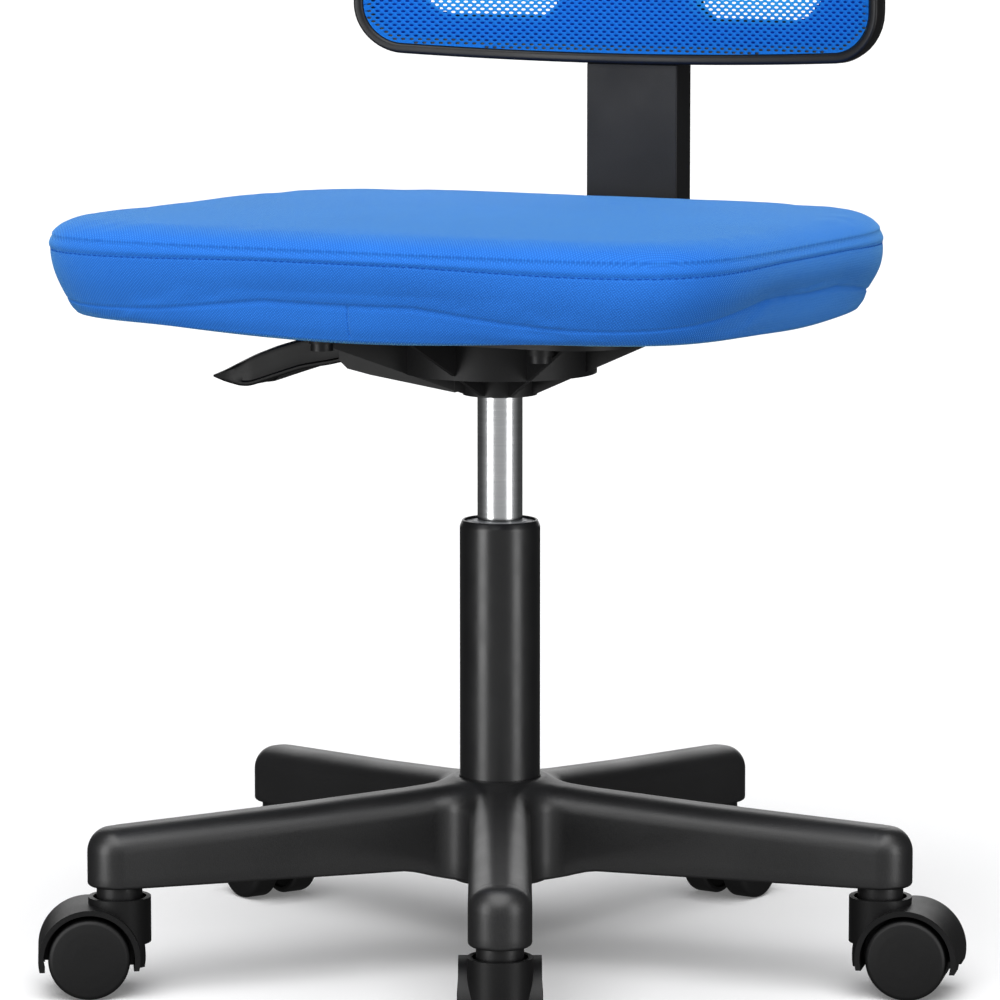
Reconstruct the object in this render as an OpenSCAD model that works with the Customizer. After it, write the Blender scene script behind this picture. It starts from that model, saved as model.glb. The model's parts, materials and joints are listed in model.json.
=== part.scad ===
// Armless swivel chair on a five-leg caster base, with a padded seat and a low mesh back.
// Millimetres. Origin on the floor under the column's axis, +Z up, the sitter faces -Y.

/* [Star base] */
// Distance from the column's axis to the end of a leg
leg_reach = 264; // [240:1:300]
// Width of a leg
leg_w = 37.4; // [34:0.2:44]
// Height of a leg's underside above the floor
leg_z = 67; // [67:1:67]
// Height of a leg's top at its outer end
leg_top_end = 100; // [98:1:102]
// Height of a leg's top where it meets the hub
leg_top_hub = 116; // [112:1:118]
// Wall thickness of the hollow legs
leg_wall = 3.2; // [2.6:0.1:4]
// Angle of the first leg, measured from +X
base_turn = 10; // [0:1:72]
// Radius of the circle that the caster stems stand on
caster_pcd_r = 244.5; // [235:0.5:246]

/* [Casters] */
// Diameter of a caster wheel
wheel_d = 50; // [50:1:50]
// Distance from the swivel axis to the wheel axle
caster_trail = 19; // [18:0.5:20]
// Outside distance across the twin wheels
caster_w = 50.6; // [49:0.2:52]
// Diameter of the stem in the leg
stem_d = 11; // [10:0.5:11]
// Diameter of the wheel axle
axle_d = 6; // [5:0.5:6]

/* [Column] */
// Outside diameter of the outer tube
tube_d = 50; // [50:0.5:51]
// Height of the outer tube's rim above the floor
tube_top = 282; // [270:1:290]
// Diameter of the gas cylinder
gas_d = 28; // [28:0.5:28]
// Height of the seat plate's collar, which sets the length of cylinder in sight
collar_z = 360; // [356:1:362]

/* [Seat] */
// Width of the cushion
seat_w = 456; // [430:1:470]
// Depth of the cushion
seat_d = 372; // [350:1:380]
// Height of the cushion's lower edge
seat_z = 409; // [409:1:409]
// Height of the top seam
seam_z = 461; // [456:1:464]
// Rise of the crown above the top seam
seat_crown = 17; // [10:1:22]
// How far the cushion's centre lies in front of the column
seat_shift = 25; // [20:1:30]

/* [Back] */
// Width of the backrest
back_w = 374; // [360:1:390]
// Height of the backrest
back_h = 270; // [250:1:290]
// Height of the backrest's lower edge above the floor
back_z = 556.5; // [556:0.5:558]
// Radius that the backrest is bent to, seen from above
back_r = 800; // [760:5:900]
// Width of the upright that carries the backrest
bar_w = 65; // [62:1:68]
// Depth of the upright's plastic cover
bar_t = 21; // [19:0.5:22]

/* [Hidden] */
e = 0.01;
legs = [for (i = [0:4]) base_turn + 72 * i];
// Direction in which each caster trails, measured from +X, one for each leg
trails = [15, 84, 152, 213, 118];
running = 0.06;

hub_r = 38;
hub_low = 56;
hub_top = 121;
hub_bore = tube_d / 2;
leg_fall = atan((leg_top_hub - leg_top_end) / (leg_reach - 60));
sleeve_r = 7.5;
sleeve_len = 26;

wheel_r = wheel_d / 2;
web_half = 6;
wheel_in = 6.7;
wheel_out = caster_w / 2;
hood_in = wheel_r + 2.8;
hood_out = wheel_r + 6;
hood_half = wheel_out - 0.9;
hood_low = 18;
neck_r = 19.2;
neck_top = 60;
stem_pin_r = 4;
stem_low = 46;
stem_collar_r = 14;
stem_collar_z = 58;
cup_r = 16.2;
cup_z = 57.5;

tube_bore = 22.2;
tube_low = 58;
disc_t = 6;
rod_r = 5;
bearing_z = tube_low + disc_t;
piston_z = 270;
gas_low = 150;
gas_top = 388;
gas_wall = 2;
button_r = 3;
button_top = 393;

skin_low = 411;
skin_top = 414;
// Lower edge of the plate's skirt
skirt_z = 403;
plate_x = 270;
plate_y = 250;
plate_rib_r = 140;
rib_t = 2.6;
rib_low_z = 404;
pin_x = -30;
pin_z = 395.4;
pin_r = 2.5;
lever_half = 15;
arm_half = 9;
hand_in = -58;
bolt_x = 75;
bolt_y = 90;
bolt_r = 3;
pan_t = 9;
pan_inset = 34;
seat_lean = 13;
nut_t = 1.2;

strip_w = 50;
strip_t = 5;
bar_y = 191;
strip_z = 394.5;
bend_r = 45;
bar_bolts = [72, 112];

back_cy = 168 - back_r;
back_mid = back_z + back_h / 2;
mesh_in = 6.5;
strip_in = 11;
shell_r = back_r + 12;
shell_t = 3;
window_x0 = 50;
window_x1 = 146;
window_z0 = 586;
window_z1 = back_z + back_h - 34;
window_r = 16;

$fn = 64;

black = [0.11, 0.11, 0.115];
dark = [0.16, 0.16, 0.165];
steel = [0.6, 0.6, 0.61];
zinc = [0.75, 0.75, 0.7];
blue = [0.16, 0.42, 0.8];

// ---- Shapes that several pieces share ----

// Upright round piece from z0 to z1, with a bore when r_in is above zero
module ring(r_out, r_in, z0, z1) {
    translate([0, 0, z0]) difference() {
        cylinder(r = r_out, h = z1 - z0);
        if (r_in > 0) translate([0, 0, -1]) cylinder(r = r_in, h = z1 - z0 + 2);
    }
}

// Block between two corners
module block(low, high) {
    translate(low) cube(high - low);
}

// Places its children at caster i, with the swivel axis at the origin and the trail along +X
module at_caster(i) {
    a = legs[i - 1];
    translate([caster_pcd_r * cos(a), caster_pcd_r * sin(a), 0]) rotate(trails[i - 1]) children();
}

// Round piece about the wheel axle, from y0 to y1
module about_axle(r, y0, y1) {
    translate([caster_trail, y0, wheel_r]) rotate([-90, 0, 0]) cylinder(r = r, h = y1 - y0);
}

// Point on a superellipse with half sides a and b and exponent n
function super_point(a, b, n, t) =
    [a * sign(cos(t)) * pow(abs(cos(t)), 2 / n), b * sign(sin(t)) * pow(abs(sin(t)), 2 / n)];

// Seat outline drawn in by inset, squarer at its front corners, slightly narrower towards the back
function seat_outline(inset) = [
    for (k = [0:71])
        let (t = 5 * k + 2.5, p = super_point(seat_w / 2 - inset, seat_d / 2 - inset, t > 180 ? 5.4 : 4.2, t))
        [p.x * (1 - 0.025 * p.y / (seat_d / 2)), p.y - seat_shift]
];

// Cushion heights and insets, from the lower edge over the widest line to the crown
function seat_rows(t, low) = concat(
    [for (s = [0:0.25:1]) [low + (seam_z - low) * s, t + seat_lean * pow(1 - s, 1.2)]],
    [for (s = [0.3, 0.6, 0.85, 0.95])
        [seam_z - t + seat_crown * (1 - pow(1 - s, 2)), t + (seat_d / 2 - t) * pow(s, 2.2)]]);

// Closed cushion solid through those rows
module cushion(t, low) {
    rows = seat_rows(t, low);
    n = 72;
    m = len(rows);
    points = [for (r = rows) for (p = seat_outline(r[1])) [p.x, p.y, r[0]]];
    sides = [for (j = [0:m - 2]) for (k = [0:n - 1])
        let (q = (k + 1) % n)
        for (f = [[j * n + k, (j + 1) * n + q, j * n + q], [j * n + k, (j + 1) * n + k, (j + 1) * n + q]]) f];
    polyhedron(points, concat([[for (k = [0:n - 1]) k]], sides,
        [[for (k = [0:n - 1]) (m - 1) * n + n - 1 - k]]));
}

// Backrest outline as seen from the front, drawn in by inset, its edges bowed outwards
function back_outline(inset) =
    let (a = back_w / 2 - inset, b = back_h / 2 - inset, r = max(32 - inset, 10))
    [for (q = [0:3]) for (s = [0:10:120])
        let (sx = (q == 0 || q == 3) ? 1 : -1, sz = q < 2 ? 1 : -1, t = min(s, 90) + 90 * q,
             along = s > 90 ? (s - 90) / 40 : 0, ex = sx * (a - r), ez = sz * (b - r),
             x = ex + r * cos(t) - (q % 2 == 0 ? 2 * ex * along : 0),
             z = ez + r * sin(t) - (q % 2 == 1 ? 2 * ez * along : 0))
        [x, z * (1 - 0.045 * pow(x / a, 2))]];

// Part of the bent back between two radii, inside an outline
module bent(r0, r1, inset, hole = -1) {
    intersection() {
        translate([0, 300, back_mid]) rotate([90, 0, 0]) linear_extrude(300) difference() {
            polygon(back_outline(inset));
            if (hole > 0) polygon(back_outline(hole));
        }
        translate([0, back_cy, back_z - 10]) difference() {
            cylinder(r = r1, h = back_h + 20, $fn = 360);
            translate([0, 0, -1]) cylinder(r = r0, h = back_h + 22, $fn = 360);
        }
    }
}

// Two window openings, cut from front to back
module windows() {
    for (s = [-1, 1])
        translate([0, 300, 0]) rotate([90, 0, 0]) linear_extrude(300) {
            x0 = s > 0 ? window_x0 : -window_x1;
            x1 = s > 0 ? window_x1 : -window_x0;
            translate([x0 + window_r, window_z0]) square([x1 - x0 - 2 * window_r, window_z1 - window_z0]);
            translate([x0, window_z0 + window_r]) square([x1 - x0, window_z1 - window_z0 - 2 * window_r]);
            for (x = [x0 + window_r, x1 - window_r], z = [window_z0 + window_r, window_z1 - window_r])
                translate([x, z]) circle(r = window_r);
        }
}

// Side outline of the L-shaped upright between two offsets from its centre line
function bar_side(o0, o1, y0, z1, a0) =
    let (c = [bar_y - bend_r, strip_z + bend_r],
         arc0 = [for (k = [0:16]) let (a = a0 - a0 * k / 16) c + (bend_r + o1) * [cos(a), sin(a)]],
         arc1 = [for (k = [16:-1:0]) let (a = a0 - a0 * k / 16) c + (bend_r + o0) * [cos(a), sin(a)]])
    concat(y0 < c.x ? [[y0, strip_z - o1]] : [], arc0, [[bar_y + o1, z1], [bar_y + o0, z1]], arc1,
           y0 < c.x ? [[y0, strip_z - o0]] : []);

// Upright solid of width w from that outline
module bar_solid(w, o0, o1, y0, z1, a0) {
    translate([-w / 2, 0, 0]) rotate([90, 0, 90]) linear_extrude(w) polygon(bar_side(o0, o1, y0, z1, a0));
}

// ---- Base ----

// Leg outline from the side: flat underside, falling top, round outer corner
function leg_side(d) =
    let (x1 = leg_reach - d, z0 = leg_z, zt = leg_top_hub - d, ze = leg_top_end - d, r = 14 - d)
    concat([[0, z0], [x1, z0]],
        [for (a = [0:15:90]) [x1 - r + r * cos(a), ze - r + r * sin(a)]], [[60, zt], [0, zt]]);

// Leg outline from above: straight sides and a half-round nose
function leg_plan(d) =
    let (w = leg_w / 2 - d)
    concat([[0, w], [0, -w]], [for (a = [-90:15:90]) [leg_reach - leg_w / 2 + w * cos(a), w * sin(a)]]);

// Leg outline across its length: flat sides with round shoulders
function leg_section(d) =
    let (w = leg_w / 2 - d, r = 15 - d)
    concat([[-w, -70], [w, -70]], [for (a = [0:15:90]) [w - r + r * cos(a), -r + r * sin(a)]],
        [for (a = [90:15:180]) [r - w + r * cos(a), -r + r * sin(a)]]);

module leg_solid(d) {
    intersection() {
        translate([0, leg_w, 0]) rotate([90, 0, 0]) linear_extrude(2 * leg_w) polygon(leg_side(d));
        translate([60, 0, leg_top_hub - d]) rotate([0, leg_fall, 0])
            translate([-100, 0, 0]) rotate([90, 0, 90]) linear_extrude(340) polygon(leg_section(d));
        linear_extrude(150) polygon(leg_plan(d));
    }
}

module star_base() {
    color(black) difference() {
        union() {
            for (a = legs) rotate(a) difference() {
                leg_solid(0);
                translate([0, 0, -e]) leg_solid(leg_wall);
            }
            rotate_extrude() polygon([[0, hub_low], [31, hub_low], [hub_r, leg_z + 1.5], [hub_r, 108],
                [hub_r - 4, 114], [29, hub_top], [0, hub_top]]);
            for (a = legs) rotate(a) {
                translate([caster_pcd_r, 0, 0]) ring(11, 0, leg_z, 100);
                for (x = [80, 125, 170, 212])
                    block([x, -leg_w / 2 + 1, leg_z + 6], [x + 2.2, leg_w / 2 - 1, 96]);
            }
        }
        ring(hub_bore, 0, hub_low - 1, hub_top + 1);
        for (a = legs) rotate(a) translate([caster_pcd_r, 0, 0]) ring(sleeve_r, 0, leg_z - 1, leg_z + sleeve_len);
    }
}

module caster_sleeves() {
    color(steel) for (a = legs) rotate(a) translate([caster_pcd_r, 0, 0])
        ring(sleeve_r, stem_d / 2, leg_z, leg_z + sleeve_len);
}

// ---- Column ----

module column_outer_tube() {
    color(black) difference() {
        rotate_extrude() polygon([[0, tube_low], [tube_d / 2, tube_low], [tube_d / 2, tube_top - 4],
            [tube_d / 2 - 1.6, tube_top], [0, tube_top]]);
        ring(tube_bore, 0, bearing_z, tube_top + 1);
        ring(rod_r + running, 0, tube_low - 1, bearing_z + 1);
    }
}

module column_guide_bush() {
    color([0.75, 0.76, 0.78]) ring(tube_bore, gas_d / 2 + running, tube_top - 62, tube_top - 1.5);
}

module thrust_bearing() {
    color(steel) ring(13, rod_r + 0.3, bearing_z, bearing_z + 4);
}

module piston_rod() {
    color(steel) {
        ring(rod_r, 0, 53, piston_z);
        ring(11, 0, bearing_z + 4.1, bearing_z + 7);
    }
}

module piston() {
    color(zinc) ring(gas_d / 2 - gas_wall - running, 0, piston_z, piston_z + 16);
}

module rubber_buffer() {
    color(dark) ring(10, rod_r, bearing_z + 7, bearing_z + 17);
}

module retaining_clip() {
    color(zinc) ring(9, rod_r, 55, 57.4);
}

module gas_cylinder() {
    color([0.72, 0.73, 0.75]) difference() {
        union() {
            ring(gas_d / 2, 0, gas_low, collar_z + 2);
            translate([0, 0, collar_z + 2]) cylinder(r1 = gas_d / 2, r2 = gas_d / 2 - 0.6, h = gas_top - collar_z - 2);
        }
        ring(rod_r + running, 0, gas_low - 1, gas_low + 16);
        ring(gas_d / 2 - gas_wall, 0, gas_low + 15, gas_top - 12);
        ring(button_r + running, 0, gas_top - 13, gas_top + 1);
    }
}

module release_button() {
    color(zinc) ring(button_r, 0, gas_top - 20, button_top);
}

// ---- Seat plate and lever ----

module rounded_plate(x, y, r, z0, z1) {
    translate([0, 0, z0]) linear_extrude(z1 - z0) {
        square([x - 2 * r, y], center = true);
        square([x, y - 2 * r], center = true);
        for (u = [-1, 1], v = [-1, 1]) translate([u * (x / 2 - r), v * (y / 2 - r)]) circle(r = r);
    }
}

// Rib from the collar out to the plate's edge, deeper towards the collar
module plate_rib(reach) {
    translate([0, rib_t / 2, 0]) rotate([90, 0, 0]) linear_extrude(rib_t)
        polygon([[20, collar_z + 1], [24, collar_z + 1], [reach, rib_low_z], [reach, skin_top - 1],
                 [20, skin_top - 1]]);
}

// Side outline of the trough under the lever
trough_side = [[-102, 378], [-96, 373], [-80, 370], [-20, 362], [-20, skin_top - 1], [-102, skin_top - 1]];

module underseat_plate() {
    color(black) difference() {
        union() {
            rounded_plate(plate_x, plate_y, 40, skin_low, skin_top);
            difference() {
                rounded_plate(plate_x, plate_y, 40, skirt_z, skin_top - 1);
                rounded_plate(plate_x - 6, plate_y - 6, 37, skirt_z - 1, skin_top);
            }
            ring(23, 0, collar_z, skin_top - 1);
            for (k = [0:7]) rotate(45 * k) plate_rib(k % 2 == 0 ? 122 : plate_rib_r);
            ring(60, 57.4, 374, skin_top - 1);
            translate([0, 22, 0]) rotate([90, 0, 0]) linear_extrude(44) polygon(trough_side);
            for (x = [-1, 1], y = [-1, 1]) translate([x * bolt_x, y * bolt_y, 0]) ring(8, 0, 396, skin_top - 1);
            for (y = bar_bolts) block([-strip_w / 2, y - 9, strip_z + strip_t / 2], [strip_w / 2, y + 9, skin_top - 1]);
        }
        // Seat of the cylinder's taper
        translate([0, 0, collar_z + 2]) cylinder(r1 = gas_d / 2, r2 = gas_d / 2 - 0.6, h = gas_top - collar_z - 2);
        ring(gas_d / 2, 0, collar_z - 1, collar_z + 2);
        // Chamber over the button, and the lever's channel
        ring(12, 0, gas_top - e, skin_low - 0.3);
        block([hand_in - 2, -arm_half - 1.5, 386], [13, arm_half + 1.5, skin_low - 0.3]);
        block([-141, -lever_half - 2, 380], [hand_in + 1.4, lever_half + 2, skin_low - 0.3]);
        translate([0, 17, 0]) rotate([90, 0, 0]) linear_extrude(34)
            polygon([[-110, 374], [-88, 373.4], [-60, 372], [-60, 390], [-110, 390]]);
        // Pin, bolt and strip clearances
        translate([pin_x, -20, pin_z]) rotate([-90, 0, 0]) cylinder(r = pin_r, h = 40);
        for (x = [-1, 1], y = [-1, 1]) translate([x * bolt_x, y * bolt_y, 0]) {
            ring(bolt_r, 0, 390, skin_top + 1);
            ring(9.5, 0, 370, 396);
        }
        block([-strip_w / 2 - 0.5, 58, 370], [strip_w / 2 + 0.5, 160, strip_z + strip_t / 2]);
        for (y = bar_bolts) translate([0, y, 0]) ring(4, 0, 380, skin_low + 1);
    }
}

// Lever seen from the sitter's front: the hand end on the left, the arm over the button on the right
module height_lever() {
    hand = [[-199, 362.5], [-197, 360.6], [-175, 356.8], [-171, 357], [-160.7, 361], [-152, 364],
            [-134.4, 369.9], [-112.7, 374], [-91, 379.3], [-80, 381.5], [hand_in, 387], [hand_in, 395.6],
            [-80, 394.2], [-100, 393], [-120, 391.6], [-134, 389.8], [-154, 383.5], [-168, 378.3],
            [-179, 372.7]];
    hollow = [[-160, 356], [-130, 362], [-90, 369], [-90, 388], [-130, 385.4], [-152, 379], [-162, 370]];
    arm = [[-70, 386], [-36, 391.4], [-24, 391.4], [-10, button_top + 0.3], [9, button_top + 0.3],
           [10, 399], [-60, 397.2], [-70, 394.2]];
    color(dark) difference() {
        union() {
            translate([0, lever_half, 0]) rotate([90, 0, 0]) linear_extrude(2 * lever_half) polygon(hand);
            translate([0, arm_half, 0]) rotate([90, 0, 0]) linear_extrude(2 * arm_half) polygon(arm);
        }
        translate([0, lever_half - 2.4, 0]) rotate([90, 0, 0]) linear_extrude(2 * lever_half - 4.8)
            polygon(hollow);
        translate([pin_x, -20, pin_z]) rotate([-90, 0, 0]) cylinder(r = pin_r + running, h = 40);
    }
}

module lever_pin() {
    color(steel) translate([pin_x, -20, pin_z]) rotate([-90, 0, 0]) cylinder(r = pin_r, h = 40);
}

module plate_bolts() {
    color(zinc) for (x = [-1, 1], y = [-1, 1]) translate([x * bolt_x, y * bolt_y, 0]) {
        difference() {
            ring(7, 0, 391.6, 396);
            translate([0, 0, 390]) cylinder(r = 3, h = 4, $fn = 6);
        }
        ring(bolt_r, 0, 396 - e, skin_top + pan_t - 1);
    }
}

// ---- Seat ----

module tee_nuts() {
    color(zinc) for (x = [-1, 1], y = [-1, 1]) translate([x * bolt_x, y * bolt_y, 0]) {
        ring(4.4, bolt_r, skin_top + 1, skin_top + pan_t);
        ring(9, bolt_r, skin_top + pan_t, skin_top + pan_t + nut_t);
    }
}

module seat_pan() {
    color([0.72, 0.58, 0.4]) difference() {
        translate([0, 0, skin_top]) linear_extrude(pan_t) polygon(seat_outline(pan_inset));
        for (x = [-1, 1], y = [-1, 1]) translate([x * bolt_x, y * bolt_y, 0])
            ring(4.4, 0, skin_top - 1, skin_top + pan_t + 1);
    }
}

module seat_foam() {
    color([0.9, 0.88, 0.75]) cushion(2, skin_top + pan_t + nut_t);
}

module seat_cover() {
    color(blue) difference() {
        cushion(0, seat_z);
        cushion(2, skin_top + pan_t + nut_t);
        translate([0, 0, seat_z - 5]) linear_extrude(skin_top + pan_t + nut_t - seat_z + 5 + e)
            polygon(seat_outline(pan_inset - 2));
    }
}

// ---- Back ----

module back_bar_strip() {
    color(dark) difference() {
        bar_solid(strip_w, -strip_t / 2, strip_t / 2, 60, back_mid + 14, -90);
        for (y = bar_bolts) translate([0, y, 0]) ring(4, 0, 380, 400);
        for (z = [back_mid - 70, back_mid - 30]) translate([0, bar_y - 20, z]) rotate([-90, 0, 0]) cylinder(r = 3, h = 40);
    }
}

module back_bar_cover() {
    color(black) difference() {
        bar_solid(bar_w, -bar_t / 2, bar_t / 2, 170, back_z - 0.2, -72);
        bar_solid(strip_w + 0.4, -strip_t / 2 - 0.2, strip_t / 2 + 0.2, 60, back_z + 5, -90);
    }
}

module back_bar_bolts() {
    color(zinc) for (y = bar_bolts) translate([0, y, 0]) {
        difference() {
            ring(7.5, 0, strip_z - strip_t / 2 - 5, strip_z - strip_t / 2);
            translate([0, 0, 380]) cylinder(r = 3.5, h = 10.5, $fn = 6);
        }
        ring(4, 0, strip_z - strip_t / 2 - e, skin_low + 0.8);
    }
}

module back_shell() {
    color(black) difference() {
        union() {
            bent(shell_r, shell_r + shell_t, 1);
            block([-34, 182, back_z + 1.5], [34, bar_y + 11.5, back_mid + 20]);
        }
        windows();
        block([-strip_w / 2 - 0.2, bar_y - strip_t / 2 - 0.2, back_z], [strip_w / 2 + 0.2, bar_y + strip_t / 2 + 0.2, back_mid + 14.2]);
        for (z = [back_mid - 70, back_mid - 30]) translate([0, bar_y, z]) rotate([-90, 0, 0]) cylinder(r = 3, h = 40);
    }
}

module back_lining() {
    color([0.1, 0.25, 0.55]) difference() {
        bent(back_r + 6, back_r + 7.5, mesh_in + 1);
        windows();
    }
}

module back_mesh() {
    color([0.2, 0.45, 0.9]) bent(back_r + 0.6, back_r + 2.4, mesh_in);
}

module mesh_edge_strip() {
    color(dark) bent(back_r + 2.4, back_r + 6, mesh_in, strip_in);
}

module back_frame() {
    color(black) bent(back_r, shell_r, 0, mesh_in);
}

module back_screws() {
    color(zinc) for (z = [back_mid - 70, back_mid - 30]) translate([0, 0, z]) rotate([-90, 0, 0]) {
        translate([0, 0, bar_y - strip_t / 2]) cylinder(r = 3, h = 14 + e);
        translate([0, 0, bar_y + 11.5]) cylinder(r = 6, h = 2.5);
    }
}

// ---- Casters ----

module caster_stem() {
    color(steel) {
        ring(stem_d / 2, 0, leg_z - e, leg_z + sleeve_len - 3);
        ring(stem_collar_r, 0, stem_collar_z, leg_z);
        ring(stem_pin_r, 0, stem_low, stem_collar_z + e);
    }
}

module caster_hood() {
    color(black) difference() {
        union() {
            intersection() {
                about_axle(hood_out, -hood_half, hood_half);
                block([-40, -40, hood_low], [80, 40, 70]);
            }
            intersection() {
                ring(neck_r, 0, hood_low, neck_top);
                union() {
                    block([-40, -40, 32], [80, 40, 70]);
                    about_axle(26.5 + 8, -40, 40);
                }
            }
        }
        about_axle(hood_in, -40, -web_half);
        about_axle(hood_in, web_half, 40);
        ring(cup_r, 0, cup_z, neck_top + 1);
        ring(stem_pin_r + running, 0, stem_low - 0.5, cup_z + 1);
        about_axle(axle_d / 2, -10, 10);
        block([24, -7, 10], [80, 7, 22]);
    }
}

module caster_axle() {
    color(steel) about_axle(axle_d / 2, -18, 18);
}

// One wheel: flat tread with rounded edges, an open inner side and a slightly domed, closed outer face
module caster_wheel(side) {
    w = wheel_out - wheel_in;
    color([0.13, 0.13, 0.13]) translate([caster_trail, 0, wheel_r]) rotate([side > 0 ? -90 : 90, 0, 0])
        rotate_extrude() polygon([
            [axle_d / 2 + running, wheel_in], [9, wheel_in], [9, wheel_in + 2], [wheel_r - 4, wheel_in + 2],
            [wheel_r - 4, wheel_in], [wheel_r - 1.4, wheel_in], [wheel_r, wheel_in + 1.6],
            [wheel_r, wheel_out - 4.6], [wheel_r - 0.5, wheel_out - 3], [wheel_r - 1.6, wheel_out - 1.9],
            [wheel_r - 3.2, wheel_out - 1.3], [wheel_r - 8, wheel_out - 0.6], [wheel_r - 14, wheel_out - 0.2],
            [0, wheel_out], [0, 18.2], [axle_d / 2 + running, 18.2]]);
}

star_base();
caster_sleeves();
column_outer_tube();
column_guide_bush();
thrust_bearing();
piston_rod();
piston();
rubber_buffer();
retaining_clip();
gas_cylinder();
release_button();
underseat_plate();
height_lever();
lever_pin();
plate_bolts();
tee_nuts();
seat_pan();
seat_foam();
seat_cover();
back_bar_strip();
back_bar_cover();
back_bar_bolts();
back_shell();
back_lining();
back_mesh();
mesh_edge_strip();
back_frame();
back_screws();
for (i = [1:5]) {
    at_caster(i) caster_stem();
    at_caster(i) caster_hood();
    at_caster(i) caster_axle();
    at_caster(i) caster_wheel(1);
    at_caster(i) caster_wheel(-1);
}
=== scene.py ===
import json
import math

import bmesh
import bpy
import numpy as np
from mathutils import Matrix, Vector


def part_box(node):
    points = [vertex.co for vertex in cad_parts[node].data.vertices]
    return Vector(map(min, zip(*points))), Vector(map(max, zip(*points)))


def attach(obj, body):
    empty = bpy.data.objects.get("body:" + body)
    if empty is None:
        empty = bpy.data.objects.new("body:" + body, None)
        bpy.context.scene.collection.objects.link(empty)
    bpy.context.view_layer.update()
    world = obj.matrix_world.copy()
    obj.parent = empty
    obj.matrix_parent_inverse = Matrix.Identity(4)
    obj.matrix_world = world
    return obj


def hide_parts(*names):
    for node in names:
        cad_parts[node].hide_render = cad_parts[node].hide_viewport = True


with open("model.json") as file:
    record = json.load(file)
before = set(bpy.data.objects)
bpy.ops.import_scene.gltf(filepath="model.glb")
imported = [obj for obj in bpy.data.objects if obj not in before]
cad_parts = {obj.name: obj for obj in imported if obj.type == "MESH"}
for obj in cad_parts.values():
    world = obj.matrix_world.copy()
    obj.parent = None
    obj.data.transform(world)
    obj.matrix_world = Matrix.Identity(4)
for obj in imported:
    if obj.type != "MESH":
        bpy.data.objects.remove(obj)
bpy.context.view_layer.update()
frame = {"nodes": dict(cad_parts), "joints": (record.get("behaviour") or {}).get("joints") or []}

MM = 0.001

# ---- Studio ----
# A pale floor under soft light from above, a tall softbox on either side that draws the upright highlights
# on the column, and a lit backdrop that shines through the mesh. None of it belongs to the chair.


def light(name, kind, place, aim, energy, size, tall=None):
    """A lamp at place that looks at aim; size is its width, or for a sun the angle of its disc in degrees."""
    data = bpy.data.lights.new(name, kind)
    data.energy = energy
    if kind == "SUN":
        data.angle = math.radians(size)
    else:
        data.shape = "RECTANGLE"
        data.size = size
        data.size_y = tall or size
    lamp = bpy.data.objects.new(name, data)
    lamp.location = place
    lamp.rotation_euler = (Vector(aim) - Vector(place)).to_track_quat("-Z", "Y").to_euler()
    bpy.context.scene.collection.objects.link(lamp)
    return lamp


def around(azimuth, distance, height):
    """A point at that azimuth round the column, where 0 is in front of the sitter's knees."""
    a = math.radians(azimuth)
    return (distance * math.sin(a), -distance * math.cos(a), height)


VIEW_AZIMUTH = 28.0
VIEW_TILT = 7.59
camera_data = bpy.data.cameras.new("camera")
camera_data.sensor_width = 36.0
camera_data.lens = 183.16
camera_data.clip_end = 100.0
camera = bpy.data.objects.new("camera", camera_data)
camera.location = around(VIEW_AZIMUTH, 3.1265, 0.7105)
camera.rotation_euler = (math.radians(90 - VIEW_TILT), 0.0, math.radians(VIEW_AZIMUTH))
bpy.context.scene.collection.objects.link(camera)
bpy.context.scene.camera = camera

light("overhead_sun", "SUN", around(VIEW_AZIMUTH - 8, 1.75, 4.0), (0, 0, 0.3), 3.6, 64)
left_spot, right_spot = around(VIEW_AZIMUTH - 51, 2.2, 0.5), around(VIEW_AZIMUTH + 49, 2.2, 0.5)
softbox_left = light("softbox_left", "AREA", left_spot, (0, 0, 0.3), 30.0, 0.9, 1.8)
softbox_right = light("softbox_right", "AREA", right_spot, (0, 0, 0.3), 22.0, 0.8, 1.8)
backdrop = light("backdrop", "AREA", around(VIEW_AZIMUTH + 180, 3.0, 1.1), (0, 0, 0.6), 26.0, 3.0, 2.0)
backdrop.visible_camera = False

world = bpy.data.worlds.new("studio")
world.use_nodes = True
bpy.context.scene.world = world
tree = world.node_tree
sky = tree.nodes["Background"]
sky.inputs["Color"].default_value = (1.0, 1.0, 1.0, 1.0)
way = tree.nodes.new("ShaderNodeTexCoord")
facing = tree.nodes.new("ShaderNodeVectorMath")
facing.operation = "DOT_PRODUCT"
facing.inputs[1].default_value = around(VIEW_AZIMUTH, 1.0, 0.0)
fill = tree.nodes.new("ShaderNodeMapRange")
for socket, value in (("From Min", -0.3), ("From Max", 1.0), ("To Min", 0.06), ("To Max", 0.5)):
    fill.inputs[socket].default_value = value
white_sky = tree.nodes.new("ShaderNodeBackground")
white_sky.inputs["Color"].default_value = (1.0, 1.0, 1.0, 1.0)
seen = tree.nodes.new("ShaderNodeLightPath")
pick = tree.nodes.new("ShaderNodeMixShader")
for output, socket in ((way.outputs["Generated"], facing.inputs[0]),
                       (facing.outputs["Value"], fill.inputs["Value"]),
                       (fill.outputs["Result"], sky.inputs["Strength"]),
                       (seen.outputs["Is Camera Ray"], pick.inputs["Fac"]),
                       (sky.outputs[0], pick.inputs[1]), (white_sky.outputs[0], pick.inputs[2]),
                       (pick.outputs[0], tree.nodes["World Output"].inputs["Surface"])):
    tree.links.new(output, socket)
bpy.context.scene.view_settings.view_transform = "Standard"


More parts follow.
